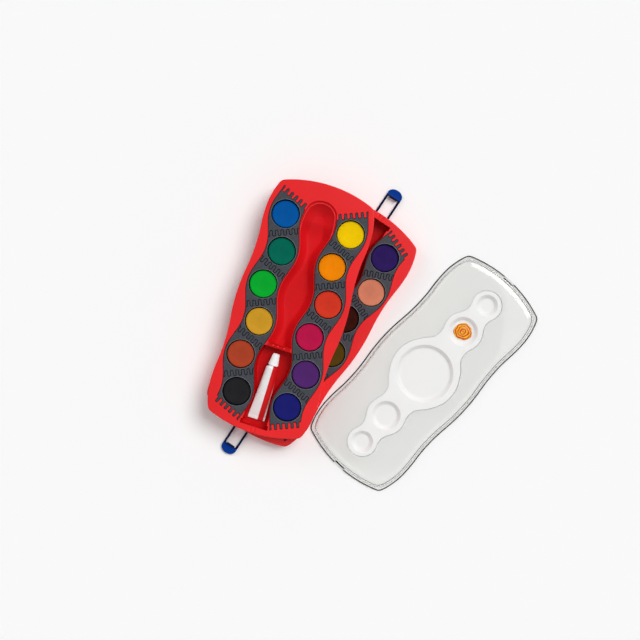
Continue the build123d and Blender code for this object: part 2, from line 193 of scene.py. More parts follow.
# Each tray's left and right paints from its head down, as sRGB colours of 0 to 255
PAINTS = {
    ("upper", -1): {
        "blue": (0, 82, 155), "teal": (0, 99, 80), "green": (6, 164, 45),
        "ochre": (200, 148, 38), "rust": (167, 64, 38), "black": (32, 32, 34),
    },
    ("upper", 1): {
        "yellow": (250, 206, 0), "orange": (248, 138, 0), "vermilion": (206, 54, 34),
        "magenta": (180, 20, 70), "purple": (78, 37, 104), "ultramarine": (26, 28, 106),
    },
    # Olive and umber are set darker than the paints are: on top of their own dark tones, a painted shade.
    ("lower", -1): {
        "sand": (198, 160, 110), "sage": (110, 140, 88), "olive": (82, 64, 16),
        "umber": (54, 18, 10), "salmon": (208, 128, 100), "indigo": (44, 26, 90),
    },
    ("lower", 1): {
        "lemon": (236, 218, 40), "coral": (218, 86, 66), "rose": (208, 70, 112),
        "lilac": (142, 102, 168), "turquoise": (0, 140, 156), "mint": (80, 178, 130),
    },
}


def show(name, data):
    """A new object in the scene."""
    thing = bpy.data.objects.new(name, data)
    bpy.context.scene.collection.objects.link(thing)
    return thing


# Camera: straight above and turned about its own axis
lens = bpy.data.cameras.new("camera")
lens.sensor_width = SENSOR_WIDTH
lens.lens = SENSOR_WIDTH * LENS_PIXELS / FRAME_WIDTH
camera = show("camera", lens)
camera.location = CAMERA_PLACE
camera.rotation_euler = (0, 0, math.radians(CAMERA_TURN))
bpy.context.scene.camera = camera


# Materials
def linear(colour):
    """An sRGB colour of 0 to 255 as linear values."""
    out = []
    for c in colour:
        c /= 255
        out.append(c / 12.92 if c <= 0.04045 else ((c + 0.055) / 1.055) ** 2.4)
    return (*out, 1.0)


def grey(level):
    return (level, level, level, 1.0)


def shade(colour, factor):
    return tuple(min(255, c * factor) for c in colour)


def add_node(tree, kind, inputs=None, **settings):
    """A new node; each input is a value or another node's output."""
    node = tree.nodes.new(kind)
    for key, value in settings.items():
        setattr(node, key, value)
    for key, value in (inputs or {}).items():
        if isinstance(value, bpy.types.NodeSocket):
            tree.links.new(value, node.inputs[key])
        else:
            node.inputs[key].default_value = value
    return node


def calculate(tree, operation, *values, clamp=False):
    """The result of a sum over numbers and other nodes' outputs."""
    node = add_node(tree, "ShaderNodeMath", dict(enumerate(values)), operation=operation, use_clamp=clamp)
    return node.outputs["Value"]


def any_ray(tree, *kinds):
    """1 for rays of these kinds, and 0 for all others."""
    path = add_node(tree, "ShaderNodeLightPath")
    first, *others = (path.outputs[f"Is {kind} Ray"] for kind in kinds)
    for other in others:
        first = calculate(tree, "MAXIMUM", first, other)
    return first


def seen_directly(tree):
    """1 for what the camera, a mirror or glass sees, and 0 for the light that a surface gets."""
    return any_ray(tree, "Camera", "Glossy", "Transmission")


class Shader:
    """A principled material with helpers for its procedural nodes."""

    def __init__(self, name, colour, roughness, **sockets):
        self.material = bpy.data.materials.new(name)
        self.material.use_nodes = True
        self.material.diffuse_color = linear(colour)
        self.tree = self.material.node_tree
        self.bsdf = self.tree.nodes["Principled BSDF"]
        self.bsdf.inputs["Base Color"].default_value = linear(colour)
        self.bsdf.inputs["Roughness"].default_value = roughness
        for key, value in sockets.items():
            self.bsdf.inputs[key.replace("_", " ")].default_value = value
        self.coords = self.add("ShaderNodeTexCoord").outputs["Object"]

    def add(self, kind, inputs=None, **settings):
        return add_node(self.tree, kind, inputs, **settings)

    def calculate(self, operation, *values, clamp=False):
        return calculate(self.tree, operation, *values, clamp=clamp)

    def set(self, name, source):
        """Links another node's output to one of the material's own inputs."""
        self.tree.links.new(source, self.bsdf.inputs[name])

    def noise(self, scale, detail=3.0, roughness=0.5, distortion=0.0):
        inputs = {"Scale": scale, "Detail": detail, "Roughness": roughness, "Distortion": distortion}
        return self.add("ShaderNodeTexNoise", {**inputs, "Vector": self.coords}).outputs["Fac"]

    def ramp(self, source, stops):
        node = self.add("ShaderNodeValToRGB", {"Fac": source})
        elements = node.color_ramp.elements
        while len(elements) < len(stops):
            elements.new(0.5)
        for element, (place, colour) in zip(elements, stops):
            element.position = place
            element.color = colour
        return node.outputs["Color"]

    def two_tone(self, source, low, high):
        """From one colour to another over the middle of the source's range."""
        return self.ramp(source, [(RAMP_START, low), (RAMP_END, high)])

    def mix(self, factor, a, b, blend="MIX"):
        inputs = {"Factor": factor, 6: a, 7: b}
        return self.add("ShaderNodeMix", inputs, data_type="RGBA", blend_type=blend).outputs[2]

    def roughness_by(self, source, low, high):
        self.set("Roughness", self.two_tone(source, grey(low), grey(high)))

    def bump(self, source, distance):
        node = self.add("ShaderNodeBump", {"Strength": 1.0, "Distance": distance, "Height": source})
        self.set("Normal", node.outputs["Normal"])

    def glow(self, strength):
        """Lifts how the surface shows to the camera, mirrors and glass, and lights nothing."""
        self.bsdf.inputs["Emission Color"].default_value = (1, 1, 1, 1)
        self.set("Emission Strength", self.calculate("MULTIPLY", seen_directly(self.tree), strength))

    def pass_lamps(self, tint):
        """Lets lamps through clear plastic onto what is behind it."""
        lamps = any_ray(self.tree, "Shadow", "Diffuse")
        window = self.add("ShaderNodeBsdfTransparent", {"Color": grey(tint)})
        mix = self.add("ShaderNodeMixShader", {0: lamps, 1: self.bsdf.outputs[0], 2: window.outputs[0]})
        self.tree.links.new(mix.outputs[0], self.tree.nodes["Material Output"].inputs["Surface"])


def plastic(name, colour, roughness, spread=0.04, grain=0.00001, scale=900.0, flow=14.0, gloss=0.4):
    """Moulded plastic: faint flow marks in its colour, uneven gloss and a fine skin."""
    s = Shader(name, colour, roughness, Specular_IOR_Level=gloss)
    low, high = (linear(shade(colour, factor)) for factor in (1 - spread, 1 + spread))
    s.set("Base Color", s.two_tone(s.noise(flow), low, high))
    s.roughness_by(s.noise(60.0, 4.0), roughness - 0.04, roughness + 0.06)
    s.bump(s.noise(scale, 2.0), grain)
    return s.material


def paint(name, colour):
    """Pressed paint: chalky and mottled, a little darker in the middle."""
    s = Shader("paint_" + name, colour, 0.8, Specular_IOR_Level=0.05)
    flat = s.add("ShaderNodeVectorMath", {0: s.coords, 1: (1, 1, 0)}, operation="MULTIPLY")
    length = s.add("ShaderNodeVectorMath", {0: flat.outputs["Vector"]}, operation="LENGTH")
    from_middle = s.calculate("MULTIPLY", length.outputs["Value"], 1 / (WELL_RADIUS * MM))
    stops = []
    for place, lift in ((0.1, 1.03), (0.45, 1.05), (0.9, 1.11)):
        stops.append((place, linear(shade(colour, min(lift, HIGHEST_PAINT / max(colour))))))
    mottle = s.ramp(s.noise(160.0, 6.0, 0.65, 0.4), [(0.25, grey(0.88)), (0.7, grey(1.0))])
    s.set("Base Color", s.mix(1.0, s.ramp(from_middle, stops), mottle, "MULTIPLY"))
    s.roughness_by(s.noise(110.0, 4.0), 0.62, 0.9)
    s.bump(s.noise(1300.0, 5.0, 0.65), 0.00005)
    return s.material


def clear_plastic(name, colour, roughness, transmission, tint, gloss=0.5):
    """Clear or frosted plastic; lamps reach through it, so what lies under it stays lit."""
    s = Shader(
        name, colour, roughness, Transmission_Weight=transmission, IOR=1.46, Specular_IOR_Level=gloss
    )
    s.roughness_by(s.noise(40.0), roughness, roughness + 0.05)
    s.bump(s.noise(18.0, 2.0), 0.00012)
    s.pass_lamps(tint)
    return s.material


def tube_skin():
    """Lacquered white tube with a plain red stripe down its right side and soft squeeze marks."""
    s = Shader("tube_skin", (246, 246, 246), 0.32, Specular_IOR_Level=0.12)
    place = s.add("ShaderNodeSeparateXYZ", {0: s.coords}).outputs
    leaning = s.calculate("MULTIPLY_ADD", place["Y"], STRIPE_LEAN, place["X"])
    past_start = s.calculate("MULTIPLY_ADD", leaning, STRIPE_SHARPNESS, -STRIPE_START, clamp=True)
    before_end = s.calculate("MULTIPLY_ADD", place["X"], -STRIPE_SHARPNESS, STRIPE_END, clamp=True)
    striped = s.calculate("MULTIPLY", past_start, before_end)
    white = s.two_tone(s.noise(300.0, 4.0), linear((242, 243, 244)), linear((250, 250, 250)))
    red = s.two_tone(s.noise(40.0, 2.0), linear((198, 16, 20)), linear((212, 22, 26)))
    s.set("Base Color", s.mix(striped, white, red))
    s.roughness_by(s.noise(90.0, 4.0), 0.38, 0.5)
    s.bump(s.noise(120.0), 0.00012)
    return s.material


def wet_paint():
    """A swirl of wet orange paint."""
    s = Shader("wet_orange", (240, 138, 8), 0.28, Specular_IOR_Level=0.3)
    inputs = {"Scale": 120.0, "Distortion": 6.0, "Detail": 2.0, "Detail Scale": 1.5, "Vector": s.coords}
    wave_node = s.add("ShaderNodeTexWave", inputs, wave_type="RINGS", rings_direction="Z")
    swirl = wave_node.outputs["Fac"]
    tones = ((0.2, (188, 58, 4)), (0.45, (236, 132, 4)), (0.85, (250, 176, 16)))
    s.set("Base Color", s.ramp(swirl, [(place, linear(colour)) for place, colour in tones]))
    s.bump(swirl, 0.0002)
    return s.material


FINE = dict(spread=0.03, grain=0.000008, scale=500.0)
CUP_GRAIN = dict(spread=0.1, grain=0.00004, scale=1300.0, flow=420.0)
RED = plastic("tray_red", (231, 26, 30), 0.36, gloss=0.25, **FINE)
# The trough's red is a darker copy of the tray red: painted shade in its long bowl.
TROUGH_SHADED_RED = plastic("trough_shaded_red", (213, 22, 29), 0.42, gloss=0.08, **FINE)
# The bay's red is darker still: painted shade in the deep tube bay and on the lowered cross wall.
BAY_SHADED_RED = plastic("bay_shaded_red", (197, 13, 19), 0.42, gloss=0.08, **FINE)
# The pockets under the cups are a near-black red: painted shade in the gaps between cups and deck.
POCKET_SHADED_RED = plastic("pocket_shaded_red", (92, 10, 14), 0.5, spread=0.03, gloss=0.05)
GREY = plastic("cup_grey", (55, 58, 65), 0.5, gloss=0.25, **CUP_GRAIN)
NAVY = plastic("bail_navy", (4, 8, 54), 0.35, gloss=0.06)
# The pad's blue is brighter than the legs' navy, partly as a painted highlight.
BLUE_PAD_HIGHLIGHT = plastic("bail_pad_highlight", (0, 54, 142), 0.35, gloss=0.06)
WHITE = plastic("tube_cap_white", (246, 246, 246), 0.4, spread=0.01)
CLEAR = clear_plastic("clear_plastic", (239, 240, 237), 0.02, 1.0, 0.95)
MILKY = clear_plastic("milky_plastic", (245, 245, 244), 0.4, 0.25, 0.9, 0.35)
# The lid's edges are a near-black plastic and the island's step a grey one: painted shade for the dark lines
# along clear plastic's edges.
EDGE_SHADE = clear_plastic("edge_shade_plastic", (13, 15, 14), 0.25, 0.05, 0.6, 0.2)
STEP_SHADE = clear_plastic("step_shade_plastic", (96, 99, 99), 0.1, 0.5, 0.8)
# The cup well's rim is a lighter grey, a painted highlight, and its wall near black, a painted shade.
WELL_RIM_HIGHLIGHT = plastic("well_rim_highlight", (104, 108, 114), 0.32, spread=0.03)
WELL_WALL_SHADE = plastic("well_wall_shade", (17, 18, 21), 0.5, spread=0.03, gloss=0.1)
# A lighter red along the trough's ridge and rim: a painted highlight.
RIDGE_HIGHLIGHT_RED = plastic("ridge_highlight_red", (246, 66, 66), 0.36, spread=0.02, gloss=0.25)
TUBE_SKIN = tube_skin()
WET = wet_paint()
PAINT = {}
for column in PAINTS.values():
    PAINT.update({name: paint(name, colour) for name, colour in column.items()})


# Lines
def spaced(start, stop, count):
    """Numbers from start to stop in a count of even steps."""
    return [start + (stop - start) * k / count for k in range(count + 1)]


def arc(centre, radius, angles):
    return [(centre[0] + radius * math.cos(t), centre[1] + radius * math.sin(t)) for t in angles]


def circle(centre, radius, count=72):
    return arc(centre, radius, spaced(0, 2 * math.pi, count)[:-1])


def bow(radius, along):
    """How far an arc has left its tangent at a distance along it."""
    return radius - math.sqrt(radius**2 - along**2)


def mirrored(loop):
    """The loop's mirror image across the long axis, still in the same turning direction."""
    return [(-x, y) for x, y in reversed(loop)]


def all_round(quarter):
    """A loop, anticlockwise from the -Y end, of a quarter from the +X side to the +Y end."""
    right = [(x, -y) for x, y in reversed(quarter[1:])] + quarter
    return right[:-1] + [(-x, -y) for x, y in right[:-1]]


def clean_loop(loop, least=0.02):
    """The loop without points that lie almost on the one before."""
    out = []
    for x, y in loop:
        if not out or math.hypot(x - out[-1][0], y - out[-1][1]) > least:
            out.append((float(x), float(y)))
    if math.hypot(out[0][0] - out[-1][0], out[0][1] - out[-1][1]) <= least:
        out.pop()
    return out


def corner_arc(before, corner, after, radius, steps):
    """The arc that rounds a corner, and how far from the corner it starts."""
    a, b = (np.array(p, float) - corner for p in (before, after))
    a, b = a / np.hypot(*a), b / np.hypot(*b)
    half = math.acos(float(a @ b)) / 2
    reach = radius / math.tan(half)
    to_centre = (a + b) / np.hypot(*(a + b)) * radius / math.sin(half)
    start, end = (math.atan2(*(way * reach - to_centre)[::-1]) for way in (a, b))
    turn = (end - start + math.pi) % (2 * math.pi) - math.pi
    return arc(corner + to_centre, radius, spaced(start, start + turn, steps)), reach


def rounded_corner(line, at, radius):
    """The open line with its corner at one index replaced by an arc."""
    p = np.array(line, float)
    away = np.hypot(*(p - p[at]).T)
    before, after = at, at
    while before > 0 and away[before] < radius * CORNER_ROOM:
        before -= 1
    while after < len(p) - 1 and away[after] < radius * CORNER_ROOM:
        after += 1
    bend, reach = corner_arc(p[before], p[at], p[after], radius, CORNER_STEPS)
    kept = [k for k in range(len(p)) if away[k] > reach + CORNER_CLEAR]
    return [line[k] for k in kept if k < at] + bend + [line[k] for k in kept if k > at]


def fillet_line(points, radius, steps):
    """An open line with every inner corner rounded."""
    out = [points[0]]
    for before, corner, after in zip(points, points[1:], points[2:]):
        out += corner_arc(before, corner, after, radius, steps)[0]
    return out + [points[-1]]


def offset_line(points, distance):
    """An open line moved to its left by a distance."""
    p = np.array(points, float)
    d = np.gradient(p, axis=0)
    n = np.stack([-d[:, 1], d[:, 0]], 1)
    return p + n / np.hypot(*n.T)[:, None] * distance


def inset_loop(loop, distance):
    """Each point of an anticlockwise loop moved inwards along its corner's bisector."""
    p = np.array(loop, float)
    normals = []
    for d in (p - np.roll(p, 1, 0), np.roll(p, -1, 0) - p):
        n = np.stack([-d[:, 1], d[:, 0]], 1)
        normals.append(n / np.hypot(*n.T)[:, None])
    n = normals[0] + normals[1]
    n /= np.hypot(*n.T)[:, None]
    mitre = np.clip(1 / np.maximum((n * normals[0]).sum(1), MITRE_SHARPEST), 1, MITRE_MOST)
    return p + n * (np.asarray(distance) * mitre)[:, None]


# Plans
def outline_loop(inset, corner):
    """The plan that trays and lid share, drawn in by an inset and with rounded corners."""
    middle, waist, hip, tail = (half - inset for half in (MIDDLE_HALF, WAIST_HALF, HIP_HALF, TAIL_HALF))

    def end_at(x):
        return HALF_LENGTH - END_RADIUS + math.sqrt((END_RADIUS - inset) ** 2 - x**2)

    def swing(x0, y0, x1, y1):
        """Two tangent arcs that run along Y at both ends."""
        dx, dy = (x1 - x0) / 2, (y1 - y0) / 2
        radius = (dx**2 + dy**2) / (2 * abs(dx))
        way = math.copysign(1, dx)
        places = spaced(0, dy, ARC_STEPS)[:-1]
        line = [(x0 + way * bow(radius, y), y0 + y) for y in places]
        return line + [(x1 - way * bow(radius, dy - y), y0 + dy + y) for y in places]

    quarter = swing(middle, 0, waist, WAIST_PLACE) + swing(waist, WAIST_PLACE, hip, HIP_PLACE)
    dx, dy = hip - tail, end_at(tail) - HIP_PLACE
    radius = (dx**2 + dy**2) / (2 * dx)
    quarter += [(hip - bow(radius, y), HIP_PLACE + y) for y in spaced(0, dy, ARC_STEPS)]
    corner_at = len(quarter) - 1
    places = spaced(tail, 0, 2 * ARC_STEPS)[1:]
    places = [x for x in places if min(abs(x - mark) for mark in END_MARKS) > MARK_ROOM]
    quarter += [(x, end_at(x)) for x in sorted(places + END_MARKS, reverse=True)]
    return clean_loop(all_round(rounded_corner(quarter, corner_at, corner)))


def wave(y):
    """How far the ribbons bulge outwards at a place along the tray."""
    near = round((FIRST_ROW - y) / PITCH)
    bulge = 1 if near % 2 == 0 else -1
    d = abs(y - (FIRST_ROW - near * PITCH))
    if d < CREST_RADIUS * math.sin(LEAN):
        drop = bow(CREST_RADIUS, d)
    else:
        drop = RIBBON_SWAY - (PITCH / 2 - d) * math.tan(LEAN)
    return bulge * (RIBBON_SWAY - drop)


def side(offset, y0, y1):
    """Points of the right ribbon's centre line moved sideways, between two places."""
    places = spaced(y0, y1, int(abs(y1 - y0) / RIBBON_STEP))
    return [(RIBBON_MIDDLE + wave(y) + offset, y) for y in places]


def comb(joint, gap):
    """The right ribbon's comb line at a joint, left to right; a positive gap lowers it."""
    line = [(-COMB_FAR, -FINGER_REACH)]
    for k in range(FINGERS):
        start = (k - FINGERS / 2 + 0.5) * FINGER_PITCH
        end = start + FINGER_PITCH / 2
        line += [(start, -FINGER_REACH), (start, FINGER_REACH), (end, FINGER_REACH), (end, -FINGER_REACH)]
    line[-2:] = [(COMB_FAR, FINGER_REACH)]
    lean = COMB_LEAN
    # Every second joint leans the other way and has its fingers mirrored
    if joint % 2:
        line = mirrored(line)
        lean = -COMB_LEAN
    line = offset_line(fillet_line(line, FINGER_ROUND, FINGER_STEPS), -gap)
    y0 = FIRST_ROW + PITCH / 2 - joint * PITCH
    c, s = math.cos(lean), math.sin(lean)
    return [(RIBBON_MIDDLE + t * c - u * s, y0 + t * s + u * c) for t, u in line]


def clip_comb(line, half):
    """The comb line between the ribbon's two sides, with its end points on them."""

    def outside(p, way):
        return way * (p[0] - RIBBON_MIDDLE - wave(p[1])) - half

    def meet(p, q, way):
        """Where the way from p, within the ribbon, to q crosses its side."""
        near, far = 0.0, 1.0
        for _ in range(HALVINGS):
            share = (near + far) / 2
            r = (p[0] + (q[0] - p[0]) * share, p[1] + (q[1] - p[1]) * share)
            if outside(r, way) < 0:
                near = share
            else:
                far = share
        return r

    inner = [k for k, p in enumerate(line) if outside(p, 1) < 0 and outside(p, -1) < 0]
    first, last = inner[0], inner[-1]
    start = meet(line[first], line[first - 1], -1)
    return [start] + [line[k] for k in inner] + [meet(line[last], line[last + 1], 1)]


def ribbon_loop(top_joint, foot_joint, gap):
    """An anticlockwise loop on the right ribbon between two joints, drawn back by a gap all round."""
    half = RIBBON_HALF - gap
    top = clip_comb(comb(top_joint, gap), half)
    foot = clip_comb(comb(foot_joint, -gap), half)
    right = side(half, foot[-1][1], top[-1][1])[1:-1]
    left = side(-half, top[0][1], foot[0][1])[1:-1]
    return foot + right + top[::-1] + left


def middle_half(y, grow=THINNING):
    """Half the width between the two ribbons' walls, which are thinned by default."""
    return RIBBON_MIDDLE + wave(y) - RIBBON_HALF - TROUGH_WALL + grow


def across(y):
    """Points between the trough's two sides along its cross wall, from -X to +X."""
    half = middle_half(y)
    places = [half - inset for inset in WALL_INSETS]
    while places[-1] > WALL_STOP:
        places.append(places[-1] - WALL_STEP)
    left = [(-x, y) for x in places]
    return left + [(0, y)] + mirrored(left)


def trough_loop():
    """The trough's plan: a round head, then sides along the ribbons to the cross wall."""
    beyond = math.hypot(CREST_RADIUS - middle_half(FIRST_ROW), HEAD_PLACE - FIRST_ROW)
    meeting = FIRST_ROW + (HEAD_PLACE - FIRST_ROW) * CREST_RADIUS / beyond
    right = [(middle_half(y), y) for y in spaced(CROSS_TOP, meeting, TROUGH_STEPS)]
    start = math.atan2(meeting - HEAD_PLACE, middle_half(meeting))
    head = arc((0, HEAD_PLACE), CREST_RADIUS - beyond, spaced(start, math.pi - start, HEAD_STEPS))
    return clean_loop(right + head[1:-1] + mirrored(right) + across(CROSS_TOP))


def bay_loop():
    """The tube compartment's plan, with the wider slot across its end."""
    right = [(SLOT_HALF, SLOT_FOOT), (SLOT_HALF, SLOT_TOP)]
    for y in spaced(SLOT_TOP, CROSS_BOTTOM, BAY_STEPS):
        flared = BAY_MOUTH + max(0, y - BAY_FLARE_FROM) * BAY_FLARE
        right.append((min(flared, middle_half(y)), y))
    foot = [(-x, SLOT_FOOT) for x in (12, 9, 6, *END_MARKS[3::-1])]
    return clean_loop(right + across(CROSS_BOTTOM)[::-1] + mirrored(right) + foot + mirrored(foot))


def base_loop():
    """The plan of everything that reaches the table: pockets, trough and tube bay with their walls."""
    half = RIBBON_HALF + TROUGH_WALL
    top = FIRST_ROW + PITCH / 2 + FINGER_REACH + TROUGH_WALL
    foot = FIRST_ROW - (ROWS - 0.5) * PITCH - FINGER_REACH - TROUGH_WALL
    ends = [y + (half + wave(y)) * math.tan(COMB_LEAN) for y in (foot, top)]
    loop = [(0, BASE_FOOT), (BASE_FOOT_HALF, BASE_FOOT)] + side(half, *ends)
    loop += [(BASE_HEAD_HALF, BASE_HEAD_SIDE), (0, BASE_HEAD)]
    return clean_loop(loop + mirrored(loop))


def island_loop():
    """The mixing island's plan: five round lobes joined by waists."""

    def lobe(place, radius, start, stop):
        return arc((0, place), radius, spaced(math.radians(start), math.radians(stop), (stop - start) // 6))

    quarter = lobe(0, 37.4, 0, 38) + [(28.4, 25.6), (18.6, 36.0), (17.4, 42.6)]
    quarter += lobe(60.5, 20.9, -32, 42) + [(12.6, 81.6)] + lobe(97.7, 16.1, -36, 90)
    loop = all_round(quarter)
    loop = np.array(loop + [loop[0]])

    # Even steps along the loop, then each point blended with its neighbours
    along = np.concatenate([[0], np.cumsum(np.hypot(*np.diff(loop, axis=0).T))])
    at = np.linspace(0, along[-1], int(along[-1] / 1.2), endpoint=False)
    points = np.stack([np.interp(at, along, loop[:, 0]), np.interp(at, along, loop[:, 1])], 1)
    reach = range(-5, 6)
    weights = [math.exp(-(k**2) / (2 * 1.9**2)) for k in reach]
    blended = sum(w * np.roll(points, k, 0) for w, k in zip(weights, reach))
    return clean_loop(blended / sum(weights))


# Meshes
def between(faces, walls):
    """The triangles of a filled outline that lie inside the outer wall and outside the holes' walls."""
    sides = [[frozenset(pair) for pair in zip(face, face[1:] + face[:1])] for face in faces]
    beside = {}
    for k, pairs in enumerate(sides):
        for pair in pairs:
            beside.setdefault(pair, []).append(k)
    depth = {}
    for pair, owners in beside.items():
        if len(owners) == 1:
            depth[owners[0]] = pair in walls
    waiting = list(depth)
    while waiting:
        k = waiting.pop()
        for pair in sides[k]:
            for other in beside[pair]:
                if other not in depth:
                    depth[other] = depth[k] ^ (pair in walls)
                    waiting.append(other)
    return [face for k, face in enumerate(faces) if depth.get(k)]


def soften(mesh, angle):
    """Smooth shading, broken along edges that turn by more than an angle."""
    mesh.shade_smooth()
    mesh.set_sharp_from_angle(angle=math.radians(angle))


def even_normals(piece):
    """Keeps flat faces flat beside rounded ones."""
    piece.modifiers.new("even_normals", "WEIGHTED_NORMAL").keep_sharp = True


def wall_drop(x, y, z):
    """Lowers the cross wall's top, and cuts the two grooves in the end rim."""
    if z > DECK - CROSS_RIM and abs(y - CROSS_MIDDLE) < CROSS_REACH:
        room = middle_half(y) - abs(x)
        return CROSS_DROP * max(0.0, min(1.0, (room - DROP_START) / DROP_SLOPE))
    if z > DECK - GROOVE_RIM and y < GROOVE_FROM and END_MARKS[1] <= abs(x) <= END_MARKS[2]:
        return GROOVE_DEPTH
    return 0.0


def round_over(radius, top, steps=3, outwards=1):
    """(inset, height) pairs of a quarter round from a flat top down to a wall."""
    angles = spaced(0, math.pi / 2, steps)
    return [(outwards * radius * (1 - math.sin(t)), top - radius * (1 - math.cos(t))) for t in angles]


class Shell:
    """Collects rings and filled plans into one mesh."""

    def __init__(self):
        self.vertices = []
        self.faces = []
        self.groups = []

    def add(self, points):
        """Adds points and returns their numbers."""
        start = len(self.vertices)
        self.vertices += [tuple(float(c) for c in p) for p in points]
        return list(range(start, len(self.vertices)))

    def ring(self, loop, height):
        """Adds a loop at a height, or heights, and returns its vertex numbers."""
        return self.add((x, y, z) for (x, y), z in zip(loop, np.broadcast_to(height, len(loop))))

    def deck_ring(self, loop, height):
        """A ring that follows the lowered cross wall and the end grooves."""
        points = zip(loop, np.broadcast_to(height, len(loop)))
        return self.ring(loop, [z - wall_drop(x, y, z) for (x, y), z in points])

    def rings(self, loop, profile):
        """The loop once for each (inset, height) of a profile."""
        return [self.ring(inset_loop(loop, inset), z) for inset, z in profile]

    def circles(self, centre, profile, count=72):
        """A circle for each (radius, height) of a profile."""
        return [self.ring(circle(centre, radius, count), z) for radius, z in profile]

    def face(self, numbers, group=0, flip=False):
        self.faces.append(numbers[::-1] if flip else list(numbers))
        self.groups.append(group)

    def band(self, a, b, group=0, flip=False):
        """Quads between two rings of the same length."""
        for k in range(len(a)):
            m = (k + 1) % len(a)
            self.face([a[k], a[m], b[m], b[k]], group, flip)

    def bands(self, rings, groups=0, flip=False):
        """A band between each two neighbouring rings, in one group or each in its own."""
        groups = np.broadcast_to(groups, (len(rings) - 1,)).tolist()
        for a, b, group in zip(rings, rings[1:], groups):
            self.band(a, b, group, flip)

    def plan(self, outer, holes=(), group=0, up=True):
        """A flat face with holes between rings that are already there."""
        rings = [outer, *holes]
        numbers = [i for ring in rings for i in ring]
        points = [Vector(self.vertices[i][:2]) for i in numbers]
        edges = []
        at = 0
        for ring in rings:
            n = len(ring)
            edges += [(at + k, at + (k + 1) % n) for k in range(n)]
            at += n
        _, _, faces, origin, _, _ = delaunay_2d_cdt(points, edges, [], 0, NEAREST)
        numbers_of = [numbers[o[0]] if o else None for o in origin]
        faces = [[numbers_of[i] for i in face] for face in faces]
        walls = {frozenset((numbers[a], numbers[b])) for a, b in edges}
        for ids in between(faces, walls):
            if None in ids or len(set(ids)) < 3:
                continue
            a, b, c = (Vector(self.vertices[i][:2]) for i in ids[:3])
            anticlockwise = (b - a).cross(c - a) > 0
            self.face(ids, group, flip=anticlockwise != up)

    def solid(self, rings, group=0, convex=True):
        """Rings joined by bands and closed at both ends."""
        self.bands(rings, group)
        if convex:
            self.face(rings[0], group, flip=True)
            self.face(rings[-1], group)
        else:
            self.plan(rings[0], (), group, up=False)
            self.plan(rings[-1], (), group)

    def build(self, name, place, materials, smooth_angle=SMOOTH_ANGLE, even=True):
        """The mesh as an object, with shared points merged and every face turned outwards."""
        mesh = bpy.data.meshes.new(name)
        points = np.array(self.vertices, float) * MM
        mesh.from_pydata([tuple(p) for p in points], [], self.faces)
        for material in materials:
            mesh.materials.append(material)
        mesh.polygons.foreach_set("material_index", self.groups)
        mesh.validate()
        b = bmesh.new()
        b.from_mesh(mesh)
        bmesh.ops.remove_doubles(b, verts=b.verts, dist=NEAREST)
        bmesh.ops.recalc_face_normals(b, faces=b.faces)
        b.to_mesh(mesh)
        b.free()
        mesh.transform(place)
        soften(mesh, smooth_angle)
        piece = show(name, mesh)
        if even:
            even_normals(piece)
        return piece


def carve(piece, cutter):
    """Takes the cutter out of the piece."""
    modifier = piece.modifiers.new("cut", "BOOLEAN")
    modifier.operation = "DIFFERENCE"
    modifier.solver = "EXACT"
    modifier.object = cutter
    bpy.context.view_layer.update()
    evaluated = piece.evaluated_get(bpy.context.evaluated_depsgraph_get())
    piece.data = bpy.data.meshes.new_from_object(evaluated)
    piece.modifiers.clear()
    bpy.data.objects.remove(cutter)
    soften(piece.data, SMOOTH_ANGLE)
    even_normals(piece)


def join(piece, other):
    """Adds another piece's mesh to a piece."""
    b = bmesh.new()
    b.from_mesh(piece.data)
    b.from_mesh(other.data)
    b.to_mesh(piece.data)
    b.free()
    bpy.data.objects.remove(other)


def add_piece(piece, body, node=None):
    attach(piece, body)
    if node:
        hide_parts(node)


def shifted(x, y, z):
    return Matrix.Translation((x * MM, y * MM, z * MM))


def placed(centre, turn, height):
    return shifted(*centre, height) @ Matrix.Rotation(math.radians(turn), 4, "Z")


LOWER_PLACE = placed((0, 0), 180, 0)
UPPER_PLACE = placed(UPPER_CENTRE, UPPER_TURN, DECK)
LID_PLACE = placed(LID_CENTRE, LID_TURN, 0)


# Trays
def slide_in(loop, inset, ends):
    """A long recess's sides moved in across it only, and each end wall kept steep.

    ends gives a wall's place and which way along the tray the recess lies from it.
    """
    p = np.array(loop, float)
    depth = np.broadcast_to(inset, (len(p),))
    moved = p.copy()
    moved[:, 0] -= np.sign(p[:, 0]) * depth
    for wall, into in ends:
        at = np.abs(p[:, 1] - wall) < 1e-6
        moved[at, 0] = p[at, 0] * (1 - depth[at] / np.abs(p[at, 0]).max())
        moved[at, 1] = wall + into * np.where(depth[at] < 0, depth[at], depth[at] * 0.1)
    return moved


def slide_in_trough(loop, inset):
    """The trough's sides slide in; its round head keeps an even inset."""
    share = np.clip((np.array(loop)[:, 1:] - EVEN_FROM) / EVEN_GROWS, 0, 1)
    line = inset_loop(loop, inset) * share + slide_in(loop, inset, [(CROSS_TOP, 1)]) * (1 - share)
    for k, (x, y) in enumerate(line):
        if y < WALLS_TO:
            line[k, 0] = math.copysign(min(abs(x), middle_half(y, THINNING + 0.1)), x)
    return line


def slide_in_bay(loop, inset):
    return slide_in(loop, inset, [(CROSS_BOTTOM, -1), (SLOT_FOOT, 1)])


def recess(shell, loop, profile, groups, draw_in=inset_loop):
    """Rings down into a recess, and its floor in the last group; returns the rim ring."""
    rings = [shell.deck_ring(draw_in(loop, inset), z) for inset, z in profile]
    *walls, floor = np.broadcast_to(groups, (len(rings),)).tolist()
    shell.bands(rings, walls, flip=True)
    shell.plan(rings[-1], (), floor)
    return rings[0]


